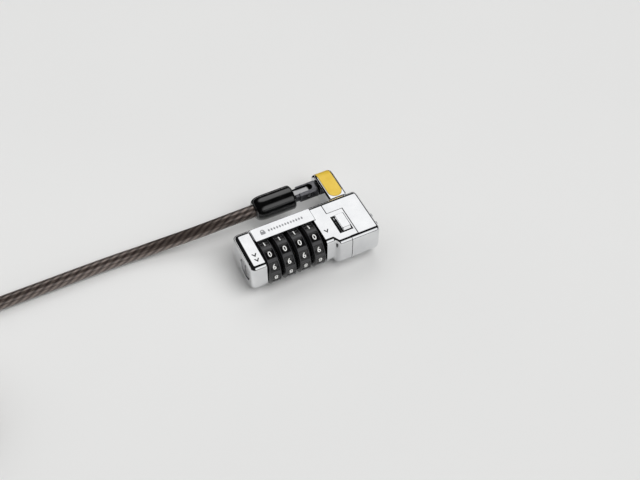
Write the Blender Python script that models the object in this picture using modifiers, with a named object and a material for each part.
"""Laptop cable lock: a four-dial combination head, a hinged swivel connector and a coiled steel cable.

X runs along the head from the end cap to the nose, +Y towards the cable side, +Z up, all in metres.
The pieces are laid out from the dials' axis, with y = 0 on it, and from the nose's face, which stays at
the same x when the head's length changes. An empty then carries them, so that the world's origin is at
the middle of the lock, on the face that it rests on.
"""

from math import cos, pi, radians, sin, sqrt

import bmesh
import bpy
from mathutils import Matrix, Vector

MM = 0.001
GAP = 0.3 * MM            # between pieces that touch or are fixed together
RUN = 0.5 * MM            # between pieces that turn or slide past each other
FAR = 60 * MM             # how far a cut reaches where nothing bounds it

# head
HEAD_LENGTH = 66 * MM
HEAD_TOP = 21.6 * MM
HEAD_BACK = 15.5 * MM
NOSE_FACE = 33 * MM
CAP_FACE = NOSE_FACE - HEAD_LENGTH
CAP_LENGTH = 7.8 * MM
CAP_END = CAP_FACE + CAP_LENGTH
CAP_EDGE = 1.6 * MM
CAP_FRONT = 9.4 * MM      # how far each section stands in front of the axis
NECK_FRONT = 9.8 * MM
NOSE_FRONT = 13.0 * MM
FRONT_ROUND = 10.2 * MM   # the large round under the front
TOP_FRONT_ROUND = 1.8 * MM
TOP_BACK_ROUND = 2.8 * MM
BOTTOM_BACK_ROUND = 7.0 * MM
WALL = 2.2 * MM

# dials
DIALS = 4
DIAL_PITCH = 7.78 * MM
DIAL_WIDTH = 7.3 * MM
DIAL_RADIUS = 10.8 * MM
DIAL_PROUD = 0.6 * MM     # how far the dials stand above the head's top
DIAL_EDGE_DROP = 1.5 * MM
DIAL_EDGE_WIDTH = 1.2 * MM
AXIS_Z = HEAD_TOP + DIAL_PROUD - DIAL_RADIUS
FIRST_DIAL_X = CAP_END + 0.05 * MM + DIAL_PITCH / 2
LAST_DIAL_END = FIRST_DIAL_X + (DIALS - 1) * DIAL_PITCH + DIAL_WIDTH / 2
WINDOW_RADIUS = DIAL_RADIUS + RUN
DETENT_Z = 3.6 * MM
DETENT_DEPTH = 2.1 * MM
DETENT_LEAF = 0.5 * MM
DETENT_BUMP = 0.85 * MM

# spindle and code sleeves
SPINDLE_RADIUS = 3.6 * MM
SPINDLE_START = CAP_END + 0.6 * MM
TRAVEL = 1.2 * MM         # of the button down, and of the spindle back
FIN_RADIUS = SPINDLE_RADIUS + 2.2 * MM
FIN_WIDTH = 2.0 * MM
FIN_THICKNESS = 1.0 * MM
SLEEVE_LENGTH = 5.0 * MM
SLEEVE_BORE = SPINDLE_RADIUS + 0.4 * MM
GATE_WIDTH = 2.6 * MM
GATE_RADIUS = FIN_RADIUS + 0.4 * MM
RING_BORE = GATE_RADIUS + 1.4 * MM
FIN_OFFSET = SLEEVE_LENGTH / 2 + TRAVEL + GAP
NOSE_ROD_RADIUS = 1.4 * MM
BULB_X = (NOSE_FACE - WALL - 2.0 * MM, NOSE_FACE - WALL - 0.5 * MM)
BULB_HALF = 1.6 * MM
SPINDLE_SPRING_RADIUS = 2.6 * MM
SPRING_WIRE = 0.35 * MM

# reset disc and the pins of the cap
RESET_RADIUS = 5.0 * MM
RESET_THICKNESS = 2.4 * MM
RESET_SINK = 0.3 * MM
RESET_SLOT_HALF = 0.6 * MM
DIAL_SEAT = CAP_FACE + RESET_SINK + RESET_THICKNESS + GAP
CAP_PIN_RADIUS = 0.9 * MM
CAP_PIN_DEPTH = 4.0 * MM
CAP_PIN_Y = 13.0 * MM
CAP_PIN_Z = (AXIS_Z - 6.2 * MM, AXIS_Z + 6.2 * MM)

# button and its drive
BUTTON_LENGTH = 9.8 * MM
BUTTON_WIDTH = 4.6 * MM
BUTTON_RISE = 1.2 * MM
BUTTON_X = NOSE_FACE - 14.7 * MM
BUTTON_Y = -1.9 * MM
BUTTON_HOLE = (BUTTON_X - BUTTON_WIDTH / 2 - 1.8 * MM, BUTTON_X + BUTTON_WIDTH / 2 + GAP)
LEG_Y = (SPINDLE_RADIUS + RUN, SPINDLE_RADIUS + RUN + 1.3 * MM)
LEG_BACK = 0.6 * MM       # how far the legs and the flange stand back from the key
LEG_LOW = AXIS_Z - 2.6 * MM
FLANGE_THICKNESS = 1.3 * MM
SPINDLE_END = BUTTON_X + 2.0 * MM
DRIVE_PIN_RADIUS = 0.9 * MM
DRIVE_PIN_REACH = LEG_Y[1] + GAP
BUTTON_SPRING_RADIUS = 1.3 * MM
BUTTON_SPRING_Y = -DRIVE_PIN_REACH - RUN - BUTTON_SPRING_RADIUS - SPRING_WIRE

# seams of the housing, and what is inside it
NECK_START = LAST_DIAL_END + 0.37 * MM
NECK_END = NECK_START + 5.7 * MM
NOSE_START = NOSE_FACE - 11.0 * MM
NOSE_BACK_START = NOSE_FACE - 19.6 * MM
SEAM_Y = DRIVE_PIN_REACH + RUN
WING_START = NOSE_START - 4.0 * MM   # the nose's wing, in front of the button's lobe
CAVITY_START = NECK_END + 1.2 * MM
CAVITY_Y = (BUTTON_SPRING_Y - BUTTON_SPRING_RADIUS - SPRING_WIRE - RUN, HEAD_BACK - WALL - 0.8 * MM)
CAVITY_Z = (WALL, HEAD_TOP - WALL)
WING_Y = CAVITY_Y[0] - 1.0 * MM       # and its inner face
FLANGE_TOP = CAVITY_Z[1] - GAP
RAIL_START = CAP_END + GAP
PLATE_SEAT = HEAD_TOP - 0.6 * MM
PLATE_THICKNESS = 0.7 * MM
PLATE_FRONT = sqrt((DIAL_RADIUS + GAP) ** 2 - (PLATE_SEAT + GAP - AXIS_Z) ** 2) + 0.1 * MM
PLATE_Y = (PLATE_FRONT, 12.9 * MM)
PLATE_X = (RAIL_START + 0.6 * MM, NECK_START + 0.8 * MM)
RAIL_EDGE_Y = PLATE_FRONT + 1.7 * MM
BUSH_X = (NECK_START + 1.6 * MM, NECK_END - 0.9 * MM)
BUSH_RADIUS = SPINDLE_RADIUS + GAP + 1.0 * MM
COVER_X = (CAVITY_START + 0.9 * MM, NOSE_START - 3.0 * MM)
COVER_Y = (-2.2 * MM, SEAM_Y - 0.9 * MM)
COVER_THICKNESS = 1.2 * MM
COVER_LIP = 0.8 * MM

# hooks and pad
HOOK_THICKNESS = 1.8 * MM
HOOK_PIVOT = (NOSE_FACE - 7.0 * MM, 5.2 * MM)
HOOK_PIN_RADIUS = 1.0 * MM
HOOK_REACH = 4.0 * MM     # beyond the nose face
HOOK_SLOT = (10.0 * MM, 3.4 * MM)
PAD_SIZE = (17 * MM, 12 * MM)
PAD_SINK = 0.5 * MM
PAD_THICKNESS = 0.7 * MM

# bracket and inlay
BRACKET_X = (NOSE_FACE - 13.1 * MM, NOSE_FACE - 3.3 * MM)
BRACKET_START = HEAD_BACK + GAP
BRACKET_ROUND = 6.5 * MM
KNUCKLE_Y = 30.7 * MM
KNUCKLE_Z = 12.5 * MM
INLAY_WIDTH = 7.2 * MM
INLAY_THICKNESS = 0.8 * MM
INLAY_START_Y = 16.5 * MM
INLAY_PROUD = 0.1 * MM
SCREW_RADIUS = 1.1 * MM
SCREW_HEAD_RADIUS = 2.0 * MM
SCREW_HEAD = 1.3 * MM
SCREW_SPREAD = 2.6 * MM
BRACKET_MIDDLE = (BRACKET_X[0] + BRACKET_X[1]) / 2
BRACKET_SCREW_X = (BRACKET_MIDDLE - SCREW_SPREAD, BRACKET_MIDDLE + SCREW_SPREAD)
BRACKET_SCREW_END = BRACKET_START + 5.5 * MM

# fork and link
FORK_WIDTH = 7.0 * MM
FORK_HEIGHT = 6.0 * MM
FORK_LENGTH = 10.1 * MM
FORK_CHAMFER = 0.9 * MM
FORK_END = BRACKET_X[0] - GAP
FORK_START = FORK_END - FORK_LENGTH
NECK_REACH = 2.0 * MM     # of the fork's smaller end, towards the cable
NECK_SHARE = 0.82         # of the fork's section
PIVOT_X = FORK_END - 5.0 * MM
PIVOT_RADIUS = 1.1 * MM
CHANNEL_WIDTH = 4.0 * MM
CHANNEL_END = PIVOT_X + 2.9 * MM
LINK_WIDTH = 3.2 * MM
LINK_HEIGHT = 4.0 * MM
CHANNEL_FLOOR = KNUCKLE_Z - LINK_HEIGHT / 2 - GAP
STUD_RADIUS = 1.7 * MM
STUD_HEAD_RADIUS = 3.0 * MM
STUD_HEAD_X = BRACKET_X[1] - 1.5 * MM
STUD_TIP = CHANNEL_END + 0.8 * MM
LINK_HEAD_RADIUS = 2.8 * MM
LINK_ROD_RADIUS = 1.5 * MM

# cable, ferrule and boot
CABLE_RADIUS = 3.25 * MM
FERRULE_RADIUS = CABLE_RADIUS + 1.15 * MM
FERRULE_X = (-9.0 * MM, 5.2 * MM)
FERRULE_FACE = 1.6 * MM
FERRULE_POCKET = 4.6 * MM
BOOT_RADIUS = FERRULE_RADIUS + 1.9 * MM
BOOT_REAR_RADIUS = CABLE_RADIUS + 1.25 * MM
BOOT_X = (-14.9 * MM, 6.4 * MM)
BOOT_SHOULDER = 4.5 * MM

# coil and the fitting at the cable's far end
COIL_CENTRE = (-203 * MM, -1.5 * MM)
COIL_TURNS_ACROSS = 3
COIL_LAYERS = 2
COIL_OUTER_TURN = 40.5 * MM
COIL_LIFT = 1.0 * MM
COIL_SPARE = 0.45 * MM    # looseness between the turns and the coil's outer shape
COIL_EDGE = 2.2 * MM
COIL_OUTSIDE = COIL_OUTER_TURN + CABLE_RADIUS + COIL_SPARE
COIL_INSIDE = COIL_OUTER_TURN - 2 * CABLE_RADIUS * (COIL_TURNS_ACROSS - 1) - CABLE_RADIUS - COIL_SPARE
COIL_TOP = COIL_LIFT + 2 * CABLE_RADIUS * COIL_LAYERS + 0.2 * MM
TIE_WIDTH = 10 * MM
TIE_THICKNESS = 0.7 * MM
TIE_ANGLE = 240           # where the strap goes round the coil, in degrees
CRIMP_LENGTH = 14 * MM
CRIMP_UP = CABLE_RADIUS + 0.95 * MM
CRIMP_LEG = CABLE_RADIUS + 0.25 * MM      # from the crimp's middle to each of the two strands in it
EYE_DISTANCE = 28.0 * MM + CRIMP_LEG      # from the coil's centre to the line of the end fitting
EYE_WIDTH = 22 * MM
EYE_LENGTH = 34 * MM
EYE_STRAIGHT = 2 * MM
EYE_SPREAD = 10 * MM      # the length over which the eye's legs part

# The run's centreline: x and y in mm, then its height as a share of the way from the table up to the boot.
RUN_Y = 39.0
RUN_ROUTE = [(-15.6, 30.7, 1.0), (-23, 30.8, 0.978), (-30, 31.3, 0.903), (-38, 32.3, 0.751),
             (-47, 33.9, 0.535), (-56, 35.6, 0.330), (-65, 37.0, 0.168), (-75, 38.1, 0.054),
             (-86, 38.8, 0.005), (-98, RUN_Y, 0), (-112, RUN_Y, 0), (-126, RUN_Y, 0), (-140, RUN_Y, 0),
             (-154, RUN_Y, 0.016), (-167, RUN_Y, 0.059)]
RUN_END_RISE = 0.097
# The tail's centreline: x and y in mm, then its height over a strand that lies on the coil, in mm.
TAIL_ROUTE = [(-170.2, 7.3, 0.45), (-172.2, 12.9, 0.75), (-175.1, 18.0, 1.0), (-178.6, 21.8, 1.2),
              (-183.0, 24.6, 1.35), (-187.4, 26.2, 1.35), (-189.4, 26.47, 1.35), (-191.3, 26.5, 1.35)]


for old in list(bpy.data.objects):
    bpy.data.objects.remove(old, do_unlink=True)

parts = bpy.data.collections.new("laptop_cable_lock")
cutters = bpy.data.collections.new("cutters")
bpy.context.scene.collection.children.link(parts)
bpy.context.scene.collection.children.link(cutters)


# ---------------------------------------------------------------- materials
def material(name, colour, roughness, metallic):
    made = bpy.data.materials.new(name)
    made.use_nodes = True
    shader = made.node_tree.nodes["Principled BSDF"]
    shader.inputs["Base Color"].default_value = (*colour, 1)
    shader.inputs["Roughness"].default_value = roughness
    shader.inputs["Metallic"].default_value = metallic
    return made


CHROME = material("chrome_plated_zinc", (0.80, 0.80, 0.81), 0.12, 1)
STEEL = material("hardened_steel", (0.52, 0.52, 0.53), 0.3, 1)
BRASS = material("brass", (0.72, 0.52, 0.22), 0.3, 1)
SPRING_STEEL = material("spring_steel", (0.42, 0.42, 0.44), 0.35, 1)
GUNMETAL = material("dark_nickel", (0.10, 0.10, 0.11), 0.3, 1)
SATIN = material("satin_nickel", (0.62, 0.62, 0.62), 0.4, 1)
BLACK_ABS = material("black_abs", (0.012, 0.012, 0.012), 0.35, 0)
BLACK_RUBBER = material("black_pvc", (0.01, 0.01, 0.01), 0.2, 0)
PAD_RUBBER = material("grey_rubber", (0.08, 0.08, 0.08), 0.7, 0)
YELLOW = material("yellow_abs", (0.86, 0.60, 0.04), 0.4, 0)
CABLE = material("clear_vinyl_over_steel", (0.11, 0.09, 0.08), 0.25, 0.2)
STRAP = material("hook_and_loop", (0.02, 0.02, 0.02), 0.9, 0)


# ---------------------------------------------------------------- tools
def part(name, mesh, finish, angle=35):
    made = bpy.data.objects.new(name, mesh)
    mesh.materials.clear()
    mesh.materials.append(finish)
    mesh.shade_smooth()
    mesh.set_sharp_from_angle(angle=radians(angle))
    parts.objects.link(made)
    return made


def cutter(mesh):
    made = bpy.data.objects.new("cutter", mesh)
    made.hide_render = True
    made.display_type = "WIRE"
    cutters.objects.link(made)
    return made


def boolean(target, tool, operation="DIFFERENCE"):
    step = target.modifiers.new(operation.lower(), "BOOLEAN")
    step.operation = operation
    step.solver = "EXACT"
    step.object = tool if isinstance(tool, bpy.types.Object) else cutter(tool)


def mesh_of(shape, name="shape"):
    bmesh.ops.recalc_face_normals(shape, faces=shape.faces)
    mesh = bpy.data.meshes.new(name)
    shape.to_mesh(mesh)
    shape.free()
    return mesh


def box(low, high):
    """A block between two corners."""
    low, high = Vector(low), Vector(high)
    size = high - low
    shape = bmesh.new()
    place = Matrix.Translation((low + high) / 2) @ Matrix.Diagonal((*size, 1))
    bmesh.ops.create_cube(shape, size=1, matrix=place)
    return mesh_of(shape)


TURN_TO = {"X": Matrix.Rotation(pi / 2, 4, "Y"), "Y": Matrix.Rotation(-pi / 2, 4, "X"), "Z": Matrix()}


def rod(axis, start, end, radius, at, sides=24, end_radius=None):
    """A round bar along an axis; at holds its two other coordinates in X, Y, Z order."""
    shape = bmesh.new()
    where = list(at)
    where.insert("XYZ".index(axis), (start + end) / 2)
    place = Matrix.Translation(where) @ TURN_TO[axis]
    bmesh.ops.create_cone(shape, cap_ends=True, segments=sides, radius1=radius,
                          radius2=radius if end_radius is None else end_radius,
                          depth=abs(end - start), matrix=place)
    return mesh_of(shape)


def evaluated_mesh(source):
    """The finished mesh of a curve or a mesh with modifiers, welded, with the source removed."""
    graph = bpy.context.evaluated_depsgraph_get()
    graph.update()
    mesh = bpy.data.meshes.new_from_object(source.evaluated_get(graph))
    mesh.transform(source.matrix_world)
    shape = bmesh.new()
    shape.from_mesh(mesh)
    bmesh.ops.remove_doubles(shape, verts=shape.verts, dist=0.00001)
    bmesh.ops.recalc_face_normals(shape, faces=shape.faces)
    shape.to_mesh(mesh)
    shape.free()
    bpy.data.objects.remove(source, do_unlink=True)
    return mesh


def outline_solid(axis, points, start, end):
    """A flat outline, its two coordinates in X, Y, Z order, extruded along an axis."""
    curve = bpy.data.curves.new("outline", "CURVE")
    curve.dimensions = "2D"
    curve.fill_mode = "BOTH"
    curve.extrude = (end - start) / 2
    spline = curve.splines.new("POLY")
    spline.points.add(len(points) - 1)
    for target, point in zip(spline.points, points):
        target.co = (*point, 0, 1)
    spline.use_cyclic_u = True
    made = bpy.data.objects.new("outline", curve)
    parts.objects.link(made)
    middle = (start + end) / 2
    columns = {
        "X": ((0, 1, 0), (0, 0, 1), (1, 0, 0)),
        "Y": ((1, 0, 0), (0, 0, 1), (0, 1, 0)),
        "Z": ((1, 0, 0), (0, 1, 0), (0, 0, 1)),
    }[axis]
    turn = Matrix(columns).transposed().to_4x4()
    made.matrix_world = Matrix.Translation(Vector(columns[2]) * middle) @ turn
    bpy.context.view_layer.update()
    return evaluated_mesh(made)


def turned(profile, centre, steps=32):
    """A closed profile of (x, radius) points, turned about a line along X through centre (y, z)."""
    shape = bmesh.new()
    corners = [shape.verts.new((x, radius, 0)) for x, radius in profile]
    for a, b in zip(corners, corners[1:] + corners[:1]):
        if not (a.co.y < 1e-7 and b.co.y < 1e-7):
            shape.edges.new((a, b))
    mesh = bpy.data.meshes.new("profile")
    shape.to_mesh(mesh)
    shape.free()
    made = bpy.data.objects.new("profile", mesh)
    parts.objects.link(made)
    screw = made.modifiers.new("screw", "SCREW")
    screw.axis = "X"
    screw.steps = screw.render_steps = steps
    screw.use_merge_vertices = True
    screw.merge_threshold = 0.00001
    made.location = (0, *centre)
    bpy.context.view_layer.update()
    return evaluated_mesh(made)


def arc(centre, radius, start, end, count):
    """Points on an arc, its angles in degrees."""
    angles = [radians(start + (end - start) * i / count) for i in range(count + 1)]
    return [(centre[0] + radius * cos(a), centre[1] + radius * sin(a)) for a in angles]


def tube(points, radius, resolution=2):
    curve = bpy.data.curves.new("tube", "CURVE")
    curve.dimensions = "3D"
    curve.bevel_depth = radius
    curve.bevel_resolution = resolution
    curve.use_fill_caps = True
    spline = curve.splines.new("POLY")
    spline.points.add(len(points) - 1)
    for target, point in zip(spline.points, points):
        target.co = (*point, 1)
    made = bpy.data.objects.new("tube", curve)
    parts.objects.link(made)
    bpy.context.view_layer.update()
    return evaluated_mesh(made)


def smooth_path(points, spacing):
    """Evenly spaced points on a smooth curve through the given ones."""
    points = [Vector(p) for p in points]
    points = [2 * points[0] - points[1], *points, 2 * points[-1] - points[-2]]
    fine = []
    for before, a, b, after in zip(points, points[1:], points[2:], points[3:]):
        for step in range(40):
            t = step / 40
            fine.append(0.5 * ((2 * a) + (b - before) * t + (2 * before - 5 * a + 4 * b - after) * t * t
                               + (3 * a - before - 3 * b + after) * t * t * t))
    fine.append(points[-2])
    length = sum((b - a).length for a, b in zip(fine, fine[1:]))
    count = round(length / spacing)
    step, done, out = length / count, 0, [fine[0]]
    for a, b in zip(fine, fine[1:]):
        stretch = (b - a).length
        while len(out) < count and done + stretch >= step * len(out):
            out.append(a.lerp(b, (step * len(out) - done) / stretch))
        done += stretch
    return [*out, fine[-1]]


def coil_spring(axis, start, end, radius, wire, turns, at):
    """A round-wire compression spring."""
    count = turns * 10
    points = []
    for i in range(count + 1):
        angle = 2 * pi * i / 10
        along = start + (end - start) * i / count
        ring = [at[0] + radius * cos(angle), at[1] + radius * sin(angle)]
        ring.insert("XYZ".index(axis), along)
        points.append(ring)
    return tube(points, wire, 1)


def front_curve(front, front_round):
    """The front of the head's section in (y, z), from the rest face up to the flat top."""
    small = TOP_FRONT_ROUND
    return (arc((front_round - front, front_round), front_round, -90, -180, 12)
            + arc((small - front, HEAD_TOP - small), small, 180, 90, 5))


def head_outline(front, front_round):
    """The head's section in (y, z): flat top and back, one large round under the front."""
    tb, bb = TOP_BACK_ROUND, BOTTOM_BACK_ROUND
    return (front_curve(front, front_round)
            + arc((HEAD_BACK - tb, HEAD_TOP - tb), tb, 90, 0, 6)
            + arc((HEAD_BACK - bb, bb), bb, 0, -90, 8))


def front_cutter(front, front_round):
    """The outline of all that lies in front of a section."""
    curve = front_curve(front, front_round)
    out = 5 * MM
    return [(curve[0][0], -out), *curve, (curve[-1][0], HEAD_TOP + out), (-FAR, HEAD_TOP + out), (-FAR, -out)]


# ---------------------------------------------------------------- housings
def make_end_cap():
    cap = part("end_cap", outline_solid("X", head_outline(CAP_FRONT, FRONT_ROUND), CAP_FACE, CAP_END), CHROME)
    edge = cap.modifiers.new("edge", "BEVEL")
    edge.width = CAP_EDGE
    edge.segments = 3
    edge.limit_method = "WEIGHT"
    weights = cap.data.attributes.new("bevel_weight_edge", "FLOAT", "EDGE")
    for line in cap.data.edges:
        ends = [cap.data.vertices[v].co.x for v in line.vertices]
        weights.data[line.index].value = 1 if max(ends) < CAP_FACE + 0.1 * MM else 0
    boolean(cap, rod("X", CAP_FACE - MM, DIAL_SEAT, RESET_RADIUS + GAP, (0, AXIS_Z), 32))
    boolean(cap, rod("X", CAP_FACE, CAP_END + MM, SPINDLE_RADIUS + RUN, (0, AXIS_Z), 32))
    for z in CAP_PIN_Z:
        boolean(cap, rod("X", CAP_END - CAP_PIN_DEPTH - GAP, CAP_END + MM, CAP_PIN_RADIUS + GAP,
                         (CAP_PIN_Y, z), 12))


def make_main_housing():
    lobe = outline_solid("X", head_outline(NOSE_FRONT, FRONT_ROUND), RAIL_START, NOSE_START - GAP / 2)
    housing = part("main_housing", lobe, CHROME)
    before = RAIL_START - MM
    boolean(housing, outline_solid("X", front_cutter(NECK_FRONT, FRONT_ROUND), before, NECK_END))
    boolean(housing, box((before, -FAR, -MM), (NECK_START, RAIL_EDGE_Y, FAR)))
    boolean(housing, rod("X", before, NECK_START, WINDOW_RADIUS, (0, AXIS_Z), 64))
    # the seam with the nose
    boolean(housing, box((NOSE_BACK_START - GAP / 2, SEAM_Y - GAP / 2, -MM), (NOSE_START + MM, FAR, FAR)))
    boolean(housing, box((WING_START - GAP / 2, -FAR, -MM), (NOSE_START + MM, WING_Y + GAP / 2, FAR)))
    # the name plate's seat
    plate_end, plate_back = PLATE_X[1] + GAP, PLATE_Y[1] + GAP
    boolean(housing, box((PLATE_X[0] - GAP, RAIL_EDGE_Y - 2 * MM, PLATE_SEAT), (plate_end, plate_back, FAR)))
    boolean(housing, box((NECK_START - MM, PLATE_Y[0] - GAP, PLATE_SEAT), (plate_end, plate_back, FAR)))
    # the cavity, the bush's bore and the button's hole
    boolean(housing, box((CAVITY_START, CAVITY_Y[0], CAVITY_Z[0]), (NOSE_START + MM, SEAM_Y, CAVITY_Z[1])))
    boolean(housing, rod("X", NECK_START - MM, CAVITY_START + MM, BUSH_RADIUS + GAP, (0, AXIS_Z), 32))
    boolean(housing, rod("X", NECK_START - MM, BUSH_X[0] - GAP, FIN_RADIUS + RUN, (0, AXIS_Z), 32))
    boolean(housing, box((BUTTON_HOLE[0], BUTTON_Y - BUTTON_LENGTH / 2 - GAP, CAVITY_Z[1] - MM),
                         (BUTTON_HOLE[1], BUTTON_Y + BUTTON_LENGTH / 2 + GAP, FAR)))
    # the leaf's slot, the cap's pins and the bottom cover's seat
    boolean(housing, box((RAIL_START + RUN, WINDOW_RADIUS - MM, AXIS_Z - DETENT_Z / 2),
                         (NECK_START - RUN, WINDOW_RADIUS + DETENT_DEPTH, AXIS_Z + DETENT_Z / 2)))
    for z in CAP_PIN_Z:
        boolean(housing, rod("X", before, RAIL_START + CAP_PIN_DEPTH + GAP, CAP_PIN_RADIUS + GAP,
                             (CAP_PIN_Y, z), 12))
    boolean(housing, box((COVER_X[0] - GAP, COVER_Y[0] - GAP, -MM),
                         (COVER_X[1] + GAP, COVER_Y[1] + GAP, COVER_THICKNESS + 2 * GAP)))
    boolean(housing, box((COVER_X[0] + COVER_LIP, COVER_Y[0] + COVER_LIP, -MM),
                         (COVER_X[1] - COVER_LIP, COVER_Y[1] - COVER_LIP, WALL + MM)))


def make_nose_housing():
    outline = head_outline(NOSE_FRONT, FRONT_ROUND)
    nose = part("nose_housing", outline_solid("X", outline, NOSE_BACK_START + GAP / 2, NOSE_FACE), CHROME)
    # the seam with the main housing: the back and a wing at the front reach over it
    boolean(nose, box((0, WING_Y - GAP / 2, -MM), (NOSE_START + GAP / 2, SEAM_Y + GAP / 2, FAR)))
    boolean(nose, box((0, -FAR, -MM), (WING_START + GAP / 2, 0, FAR)))
    # the cavity and its arm behind the seam
    boolean(nose, box((NOSE_START - MM, CAVITY_Y[0], CAVITY_Z[0]),
                      (NOSE_FACE - WALL, CAVITY_Y[1], CAVITY_Z[1])))
    boolean(nose, box((NOSE_BACK_START + WALL, SEAM_Y + 1.6 * MM, CAVITY_Z[0]),
                      (NOSE_START + MM, CAVITY_Y[1], CAVITY_Z[1])))
    # the hooks' slot, the pad's seat and the bracket's screws
    slot_y, slot_z = HOOK_SLOT[0] / 2, HOOK_SLOT[1] / 2
    outside = NOSE_FACE + MM
    boolean(nose, box((NOSE_FACE - WALL - MM, -slot_y, AXIS_Z - slot_z), (outside, slot_y, AXIS_Z + slot_z)))
    seat_y, seat_z = PAD_SIZE[0] / 2 + GAP, PAD_SIZE[1] / 2 + GAP
    boolean(nose, box((NOSE_FACE - PAD_SINK, -seat_y, AXIS_Z - seat_z), (outside, seat_y, AXIS_Z + seat_z)))
    for x in BRACKET_SCREW_X:
        boolean(nose, rod("Y", CAVITY_Y[1] - MM, HEAD_BACK + MM, SCREW_RADIUS + GAP, (x, KNUCKLE_Z), 16))


def make_small_covers():
    low, high = PLATE_SEAT + GAP, PLATE_SEAT + GAP + PLATE_THICKNESS
    part("name_plate", box((PLATE_X[0], PLATE_Y[0], low), (PLATE_X[1], PLATE_Y[1], high)), CHROME)
    low, high = (COVER_X[0], COVER_Y[0], GAP), (COVER_X[1], COVER_Y[1], GAP + COVER_THICKNESS)
    cover = part("bottom_cover", box(low, high), CHROME)
    rim = 1.5 * MM
    boolean(cover, box((low[0] + rim, low[1] + rim, -MM), (high[0] - rim, high[1] - rim, GAP + 0.4 * MM)))
    face = NOSE_FACE - PAD_SINK + GAP
    half_y, half_z = PAD_SIZE[0] / 2, PAD_SIZE[1] / 2
    pad = box((face, -half_y, AXIS_Z - half_z), (face + PAD_THICKNESS, half_y, AXIS_Z + half_z))
    slot_y, slot_z = HOOK_SLOT[0] / 2, HOOK_SLOT[1] / 2
    boolean(part("nose_pad", pad, PAD_RUBBER),
            box((face - MM, -slot_y, AXIS_Z - slot_z), (face + 2 * MM, slot_y, AXIS_Z + slot_z)))
    for number, z in enumerate(CAP_PIN_Z, 1):
        start, end = CAP_END - CAP_PIN_DEPTH, RAIL_START + CAP_PIN_DEPTH
        pin = rod("X", start, end, CAP_PIN_RADIUS, (CAP_PIN_Y, z), 12)
        part(f"cap_pin_{number}", pin, STEEL)
    bush = [(BUSH_X[0], SPINDLE_RADIUS + GAP), (BUSH_X[1], SPINDLE_RADIUS + GAP),
            (BUSH_X[1], BUSH_RADIUS), (BUSH_X[0], BUSH_RADIUS)]
    part("spindle_bush", turned(bush, (0, AXIS_Z)), BRASS)


# ---------------------------------------------------------------- dials
def make_dials():
    half, sleeve = DIAL_WIDTH / 2, SLEEVE_LENGTH / 2
    for number in range(DIALS):
        x = FIRST_DIAL_X + number * DIAL_PITCH
        flat = half - DIAL_EDGE_WIDTH
        shoulder, bend = DIAL_RADIUS - DIAL_EDGE_DROP, DIAL_RADIUS - 0.35 * DIAL_EDGE_DROP
        knee = flat + 0.6 * DIAL_EDGE_WIDTH
        rim = [(half, shoulder), (knee, bend), (flat, DIAL_RADIUS),
               (-flat, DIAL_RADIUS), (-knee, bend), (-half, shoulder)]
        ring = [(-half, RING_BORE), (half, RING_BORE), *rim]
        made = part(f"number_ring_{number + 1}", turned(ring, (0, 0), 40), BLACK_ABS)
        made.location = (x, 0, AXIS_Z)
        outside = RING_BORE - GAP
        tube_profile = [(-sleeve, SLEEVE_BORE), (sleeve, SLEEVE_BORE), (sleeve, outside), (-sleeve, outside)]
        made = part(f"code_sleeve_{number + 1}", turned(tube_profile, (0, 0), 32), BRASS)
        made.location = (x, 0, AXIS_Z)
        gate = cutter(box((-sleeve - MM, -GATE_WIDTH / 2, 0), (sleeve + MM, GATE_WIDTH / 2, GATE_RADIUS)))
        gate.location = made.location
        boolean(made, gate)


def make_detent_spring():
    """One leaf behind the four dials, with a bump for each."""
    back = WINDOW_RADIUS + DETENT_DEPTH - GAP
    low, high = AXIS_Z - DETENT_Z / 2 + GAP, AXIS_Z + DETENT_Z / 2 - GAP
    strip = box((RAIL_START + RUN + GAP, back - DETENT_LEAF, low), (NECK_START - RUN - GAP, back, high))
    leaf = part("detent_spring", strip, SPRING_STEEL)
    for number in range(DIALS):
        x = FIRST_DIAL_X + number * DIAL_PITCH
        boolean(leaf, rod("Z", low, high, DETENT_BUMP, (x, back - DETENT_BUMP - 0.05 * MM), 12), "UNION")


# ---------------------------------------------------------------- spindle, button, hooks


def make_spindle():
    spindle = part("spindle", rod("X", SPINDLE_START, SPINDLE_END, SPINDLE_RADIUS, (0, AXIS_Z), 32), STEEL)
    for number in range(DIALS):
        x = FIRST_DIAL_X + number * DIAL_PITCH + FIN_OFFSET
        fin = box((x, -FIN_WIDTH / 2, AXIS_Z), (x + FIN_THICKNESS, FIN_WIDTH / 2, AXIS_Z + FIN_RADIUS))
        boolean(spindle, fin, "UNION")
    nose_rod = rod("X", SPINDLE_END - MM, BULB_X[0] + 0.5 * MM, NOSE_ROD_RADIUS, (0, AXIS_Z), 16)
    boolean(spindle, nose_rod, "UNION")
    half = HOOK_THICKNESS / 2
    bulb = box((BULB_X[0], -BULB_HALF, AXIS_Z - half), (BULB_X[1], BULB_HALF, AXIS_Z + half))
    boolean(spindle, bulb, "UNION")
    boolean(spindle, rod("Y", -10 * MM, 10 * MM, DRIVE_PIN_RADIUS + GAP, (BUTTON_X, AXIS_Z), 16))
    pin = rod("Y", -DRIVE_PIN_REACH, DRIVE_PIN_REACH, DRIVE_PIN_RADIUS, (BUTTON_X, AXIS_Z), 16)
    part("drive_pin", pin, STEEL)
    start, end = DIAL_SEAT + 2 * SPRING_WIRE, SPINDLE_START - GAP - SPRING_WIRE
    spring = coil_spring("X", start, end, SPINDLE_SPRING_RADIUS, SPRING_WIRE, 4, (0, AXIS_Z))
    part("spindle_spring", spring, SPRING_STEEL)


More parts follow.
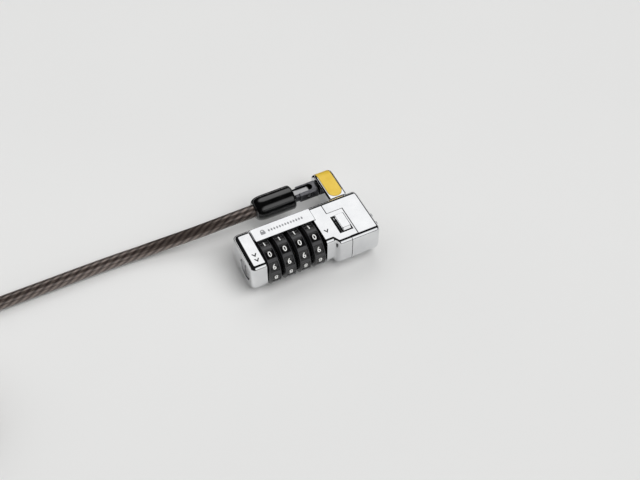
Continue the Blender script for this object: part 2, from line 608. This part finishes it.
def make_button():
    """A key with a flange under the roof and two legs, whose 45 degree slots draw the drive pin back."""
    half_x, half_y = BUTTON_WIDTH / 2, BUTTON_LENGTH / 2
    back, front = BUTTON_X - half_x - LEG_BACK, BUTTON_X + half_x
    key = box((BUTTON_X - half_x, BUTTON_Y - half_y, FLANGE_TOP - FLANGE_THICKNESS / 2),
              (front, BUTTON_Y + half_y, HEAD_TOP + BUTTON_RISE))
    button = part("release_button", key, CHROME)
    flange = box((back, BUTTON_SPRING_Y - BUTTON_SPRING_RADIUS, FLANGE_TOP - FLANGE_THICKNESS),
                 (front, LEG_Y[1], FLANGE_TOP))
    boolean(button, flange, "UNION")
    for side in (-1, 1):
        y = sorted((side * LEG_Y[0], side * LEG_Y[1]))
        boolean(button, box((back, y[0], LEG_LOW), (front, y[1], FLANGE_TOP - 0.2 * MM)), "UNION")
    pin = DRIVE_PIN_RADIUS + GAP
    slot = (arc((BUTTON_X, AXIS_Z), pin, -135, 45, 10)
            + arc((BUTTON_X - TRAVEL, AXIS_Z + TRAVEL), pin, 45, 225, 10))
    boolean(button, outline_solid("Y", slot, -10 * MM, 10 * MM))
    spring = coil_spring("Z", CAVITY_Z[0] + 2 * SPRING_WIRE, FLANGE_TOP - FLANGE_THICKNESS - 2 * SPRING_WIRE,
                         BUTTON_SPRING_RADIUS, SPRING_WIRE, 7, (BUTTON_X, BUTTON_SPRING_Y))
    part("button_spring", spring, SPRING_STEEL)


def make_hooks():
    """Two levers that the spindle's head holds apart; their barbs catch behind the computer's wall."""
    px, py = HOOK_PIVOT
    face, tip = NOSE_FACE, NOSE_FACE + HOOK_REACH
    pad_start, arm, grip = BULB_X[0] + 0.5 * MM, BULB_HALF + GAP, BULB_HALF + 1.5 * MM
    lever = [(px - 1.8 * MM, py - 2.35 * MM), (pad_start, arm + 0.8 * MM), (pad_start, arm), (tip, arm),
             (tip, grip + 0.3 * MM), (tip - 1.4 * MM, grip + 1.2 * MM),
             (tip - 1.8 * MM, grip + 1.2 * MM), (tip - 1.8 * MM, grip),
             (face - WALL, grip), (face - WALL - 0.6 * MM, grip + 1.5 * MM), (px + 1.8 * MM, py + 2.0 * MM),
             (px - 1.8 * MM, py + 2.0 * MM)]
    for name, side in (("front", -1), ("back", 1)):
        points = [(x - px, side * (y - py)) for x, y in lever]
        half = HOOK_THICKNESS / 2
        hook = part(f"hook_{name}", outline_solid("Z", points, -half, half), STEEL)
        hook.location = (px, side * py, AXIS_Z)
        hole = cutter(rod("Z", -5 * MM, 5 * MM, HOOK_PIN_RADIUS + GAP, (0, 0), 16))
        hole.location = hook.location
        boolean(hook, hole)
        pin = rod("Z", CAVITY_Z[0] + GAP, CAVITY_Z[1] - GAP, HOOK_PIN_RADIUS, (px, side * py), 16)
        part(f"hook_pin_{name}", pin, STEEL)


def make_reset_dial():
    """A coin-slot disc in the end face, turned a quarter to set a new number."""
    low = CAP_FACE + RESET_SINK
    high = low + RESET_THICKNESS
    disc = [(low, 0), (low, RESET_RADIUS - 0.4 * MM), (low + 0.4 * MM, RESET_RADIUS), (high, RESET_RADIUS),
            (high, 2.0 * MM), (high + 0.5 * MM, 2.0 * MM), (high + 0.5 * MM, 0)]
    made = part("reset_dial", turned(disc, (0, 0), 32), SATIN)
    made.location = (0, 0, AXIS_Z)
    slot = cutter(box((low - MM, -RESET_SLOT_HALF, -6 * MM), (low + 1.2 * MM, RESET_SLOT_HALF, 6 * MM)))
    slot.location = made.location
    boolean(made, slot)


# ---------------------------------------------------------------- bracket and connector
def bracket_outline(grow, start):
    """The bracket's section in (y, z): flat above and below, with a full round far end."""
    r = BRACKET_ROUND + grow
    return [(start, KNUCKLE_Z - r), *arc((KNUCKLE_Y, KNUCKLE_Z), r, -90, 90, 16), (start, KNUCKLE_Z + r)]


def inlay_body(grow):
    """The band over the bracket's top and round its far end, with a round near end seen from above."""
    middle, half = BRACKET_MIDDLE, INLAY_WIDTH / 2 + grow
    end = INLAY_START_Y + INLAY_WIDTH / 2
    low = KNUCKLE_Z - 2.5 * MM - grow
    plan = arc((middle, end), half, 180, 360, 12) + [(middle + half, FAR), (middle - half, FAR)]
    return outline_solid("Z", plan, low, FAR)


def make_bracket():
    bracket = part("cable_bracket", outline_solid("X", bracket_outline(0, BRACKET_START), *BRACKET_X), CHROME)
    ends = BRACKET_X[0] - 5 * MM, BRACKET_X[1] + 5 * MM
    groove = cutter(inlay_body(GAP))
    boolean(groove, outline_solid("X", bracket_outline(-INLAY_THICKNESS - GAP, 0), *ends))
    boolean(bracket, groove)
    centre = (KNUCKLE_Y, KNUCKLE_Z)
    past = BRACKET_X[1] + MM
    boolean(bracket, rod("X", BRACKET_X[0] - MM, past, STUD_RADIUS + GAP, centre, 20))
    boolean(bracket, rod("X", STUD_HEAD_X - GAP, past, STUD_HEAD_RADIUS + GAP, centre, 24))
    for x in BRACKET_SCREW_X:
        boolean(bracket, rod("Y", 0, BRACKET_SCREW_END + GAP, SCREW_RADIUS + GAP, (x, KNUCKLE_Z), 16))
    inlay = part("bracket_inlay", outline_solid("X", bracket_outline(INLAY_PROUD, INLAY_START_Y - MM),
                                                BRACKET_X[0] - MM, BRACKET_X[1] + MM), YELLOW)
    boolean(inlay, inlay_body(0), "INTERSECT")
    boolean(inlay, outline_solid("X", bracket_outline(-INLAY_THICKNESS, 0), *ends))
    for number, x in enumerate(BRACKET_SCREW_X, 1):
        top = CAVITY_Y[1] - GAP
        cap = rod("Y", top - SCREW_HEAD, top, SCREW_HEAD_RADIUS, (x, KNUCKLE_Z), 16)
        screw = part(f"bracket_screw_{number}", cap, STEEL)
        boolean(screw, rod("Y", top - 0.5 * MM, BRACKET_SCREW_END, SCREW_RADIUS, (x, KNUCKLE_Z), 16), "UNION")
        boolean(screw, box((x - 1.4 * MM, top - SCREW_HEAD - MM, KNUCKLE_Z - 0.3 * MM),
                           (x + 1.4 * MM, top - SCREW_HEAD + 0.5 * MM, KNUCKLE_Z + 0.3 * MM)))


def make_fork():
    """A slotted block riveted to the bracket; the link hinges in its channel, open above and to the cable."""
    centre = (KNUCKLE_Y, KNUCKLE_Z)
    a, b, c = FORK_WIDTH / 2, FORK_HEIGHT / 2, FORK_CHAMFER
    section = [(-a + c, -b), (a - c, -b), (a, -b + c), (a, b - c),
               (a - c, b), (-a + c, b), (-a, b - c), (-a, -b + c)]
    body = [(centre[0] + y, centre[1] + z) for y, z in section]
    fork = part("swivel_fork", outline_solid("X", body, FORK_START, FORK_END), GUNMETAL)
    neck = [(centre[0] + y * NECK_SHARE, centre[1] + z * NECK_SHARE) for y, z in section]
    boolean(fork, outline_solid("X", neck, FORK_START - NECK_REACH, FORK_START + MM), "UNION")
    half = CHANNEL_WIDTH / 2
    plan = (arc((CHANNEL_END - half, KNUCKLE_Y), half, -90, 90, 8)
            + [(-FAR, KNUCKLE_Y + half), (-FAR, KNUCKLE_Y - half)])
    boolean(fork, outline_solid("Z", plan, CHANNEL_FLOOR, FAR))
    boolean(fork, rod("Y", 0, FAR, PIVOT_RADIUS + GAP, (PIVOT_X, KNUCKLE_Z), 16))
    boolean(fork, rod("X", STUD_TIP - GAP, FORK_END + MM, STUD_RADIUS + GAP, centre, 20))
    sunk = a - 0.2 * MM
    pin = rod("Y", KNUCKLE_Y - sunk, KNUCKLE_Y + sunk, PIVOT_RADIUS, (PIVOT_X, KNUCKLE_Z), 16)
    part("fork_pin", pin, STEEL)
    flush = BRACKET_X[1] - 0.2 * MM
    stud = [(STUD_TIP, 0), (STUD_TIP, STUD_RADIUS), (STUD_HEAD_X, STUD_RADIUS), (STUD_HEAD_X, STUD_HEAD_RADIUS),
            (flush - 0.4 * MM, STUD_HEAD_RADIUS), (flush, STUD_HEAD_RADIUS - 0.5 * MM), (flush, 0)]
    part("fork_stud", turned(stud, centre, 24), STEEL)


def make_link():
    """A flat bar hinged on the fork's pin, ending in a round head that the ferrule turns on."""
    half = LINK_HEIGHT / 2
    face = FERRULE_X[1]
    # side view, (x, z)
    start = face + 1.8 * MM
    side = arc((PIVOT_X, KNUCKLE_Z), half, -90, 90, 10)
    side += [(start, KNUCKLE_Z + half), (start, KNUCKLE_Z - half)]
    bar = outline_solid("Y", side, KNUCKLE_Y - LINK_WIDTH / 2, KNUCKLE_Y + LINK_WIDTH / 2)
    link = part("cable_link", bar, SATIN)
    link.data.transform(Matrix.Translation((-PIVOT_X, -KNUCKLE_Y, -KNUCKLE_Z)))
    link.location = (PIVOT_X, KNUCKLE_Y, KNUCKLE_Z)
    centre = (KNUCKLE_Y, KNUCKLE_Z)
    head = face - FERRULE_FACE - RUN
    boolean(link, rod("X", head - 1.0 * MM, start + 0.4 * MM, LINK_ROD_RADIUS, centre, 20), "UNION")
    boolean(link, rod("X", head - 2.4 * MM, head, LINK_HEAD_RADIUS, centre, 24), "UNION")
    boolean(link, rod("Y", 0, FAR, PIVOT_RADIUS + GAP, (PIVOT_X, KNUCKLE_Z), 16))


def make_cable_end():
    """The crimped ferrule that turns on the link's head, its moulded boot, and the cable's end in it."""
    centre = (KNUCKLE_Y, KNUCKLE_Z)
    low, high = FERRULE_X
    bore = CABLE_RADIUS + GAP
    pocket = LINK_HEAD_RADIUS + 0.4 * MM
    pocket_low = high - FERRULE_FACE - FERRULE_POCKET
    web = pocket_low - 1.0 * MM
    mouth = LINK_ROD_RADIUS + 0.4 * MM
    outside, face = FERRULE_RADIUS, high - FERRULE_FACE
    ferrule = [(low, bore), (low, outside), (high - 0.5 * MM, outside), (high, outside - 0.5 * MM),
               (high, mouth), (face, mouth), (face, pocket), (pocket_low, pocket),
               (pocket_low, 0), (web, 0), (web, bore)]
    part("cable_ferrule", turned(ferrule, centre, 32), SATIN)
    rear, front = BOOT_X
    inner, r = FERRULE_RADIUS + GAP, BOOT_RADIUS
    shoulder = [(rear + BOOT_SHOULDER * (1 - cos(radians(a))),
                 BOOT_REAR_RADIUS + (r - BOOT_REAR_RADIUS) * sin(radians(a)))
                for a in (0, 22.5, 45, 67.5, 90)]
    boot = [(rear, CABLE_RADIUS + GAP), *shoulder, (front - 0.9 * MM, r), (front - 0.25 * MM, r - 0.3 * MM),
            (front, r - 0.9 * MM), (front, inner), (low - GAP, inner), (low - GAP, CABLE_RADIUS + GAP)]
    part("cable_boot", turned(boot, centre, 36), BLACK_RUBBER)
    part("cable_end", rod("X", rear - 0.2 * MM, web - GAP, CABLE_RADIUS, centre, 20), CABLE)


# ---------------------------------------------------------------- cable


def make_cable():
    """The free run on the table, the wound stretch as one ring, its strap, and the fitting at the far end."""
    cx, cy = COIL_CENTRE
    rise = KNUCKLE_Z - CABLE_RADIUS
    route = [(x * MM, y * MM, CABLE_RADIUS + share * rise) for x, y, share in RUN_ROUTE]
    reach = COIL_OUTSIDE + CABLE_RADIUS - 0.05 * MM
    end_x = cx + sqrt(reach ** 2 - (RUN_Y * MM - cy) ** 2)
    route.append((end_x, RUN_Y * MM, CABLE_RADIUS + RUN_END_RISE * rise))
    part("cable_run", tube(smooth_path(route, 4.4 * CABLE_RADIUS), CABLE_RADIUS, 3), CABLE)

    # the ring's profile in (height, radius), turned about X and then stood upright
    low, high, edge = COIL_LIFT, COIL_TOP, COIL_EDGE
    ring = [(low + edge, COIL_OUTSIDE), (low, COIL_OUTSIDE - edge),
            (low, COIL_INSIDE + edge), (low + edge, COIL_INSIDE),
            (high - edge, COIL_INSIDE), (high, COIL_INSIDE + edge),
            (high, COIL_OUTSIDE - edge), (high - edge, COIL_OUTSIDE)]
    mesh = turned(ring, (0, 0), 48)
    mesh.transform(Matrix.Translation((cx, cy, 0)) @ Matrix.Rotation(-pi / 2, 4, "Y"))
    part("cable_coil", mesh, CABLE)

    turn = Matrix.Translation((cx, cy, 0)) @ Matrix.Rotation(radians(TIE_ANGLE), 4, "Z")
    t = TIE_THICKNESS
    near, far, top = COIL_INSIDE - 1.0 * MM, COIL_OUTSIDE + 0.6 * MM, COIL_TOP + 0.4 * MM
    strap = box((near - t, -TIE_WIDTH / 2, 0), (far + t, TIE_WIDTH / 2, top + t))
    strap.transform(turn)
    hollow = box((near, -TIE_WIDTH, t), (far, TIE_WIDTH, top))
    hollow.transform(turn)
    boolean(part("coil_strap", strap, STRAP), hollow)

    on_coil = COIL_TOP + CABLE_RADIUS
    route = [(x * MM, y * MM, on_coil + lift * MM) for x, y, lift in TAIL_ROUTE]
    part("cable_tail", tube(smooth_path(route, CABLE_RADIUS), CABLE_RADIUS, 2), CABLE)
    y, z, leg = cy + EYE_DISTANCE, route[-1][2], CRIMP_LEG
    start = route[-1][0] - 2 * GAP
    section = arc((y + leg, z), CRIMP_UP, -90, 90, 8) + arc((y - leg, z), CRIMP_UP, 90, 270, 8)
    part("eye_crimp", outline_solid("X", section, start - CRIMP_LENGTH, start), SATIN)
    first = start - CRIMP_LENGTH - GAP
    bend = EYE_WIDTH / 2 - CABLE_RADIUS
    tip = first - EYE_LENGTH + CABLE_RADIUS
    legs = [(first, leg)]
    for i in range(5):
        apart = leg + (bend - leg) * (1 - cos(pi * i / 4)) / 2
        legs.append((first - EYE_STRAIGHT - EYE_SPREAD * i / 4, apart))
    loop = ([(x, y + w, z) for x, w in legs]
            + [(px, py, z) for px, py in arc((tip + bend, y), bend, 90, 270, 10)]
            + [(x, y - w, z) for x, w in reversed(legs)])
    part("cable_eye", tube(loop, CABLE_RADIUS, 2), CABLE)


def carry_all():
    """Parents every piece and cutter to one empty, which puts the lock without its cable over the origin."""
    stand = bpy.data.objects.new("stand", None)
    parts.objects.link(stand)
    far_y = KNUCKLE_Y + BRACKET_ROUND + INLAY_PROUD
    stand.location = (-(CAP_FACE + NOSE_FACE + HOOK_REACH) / 2, (NOSE_FRONT - far_y) / 2, 0)
    for made in [*parts.objects, *cutters.objects]:
        if made is not stand:
            made.parent = stand


make_end_cap()
make_main_housing()
make_nose_housing()
make_small_covers()
make_dials()
make_detent_spring()
make_spindle()
make_button()
make_hooks()
make_reset_dial()
make_bracket()
make_fork()
make_link()
make_cable_end()
make_cable()
carry_all()
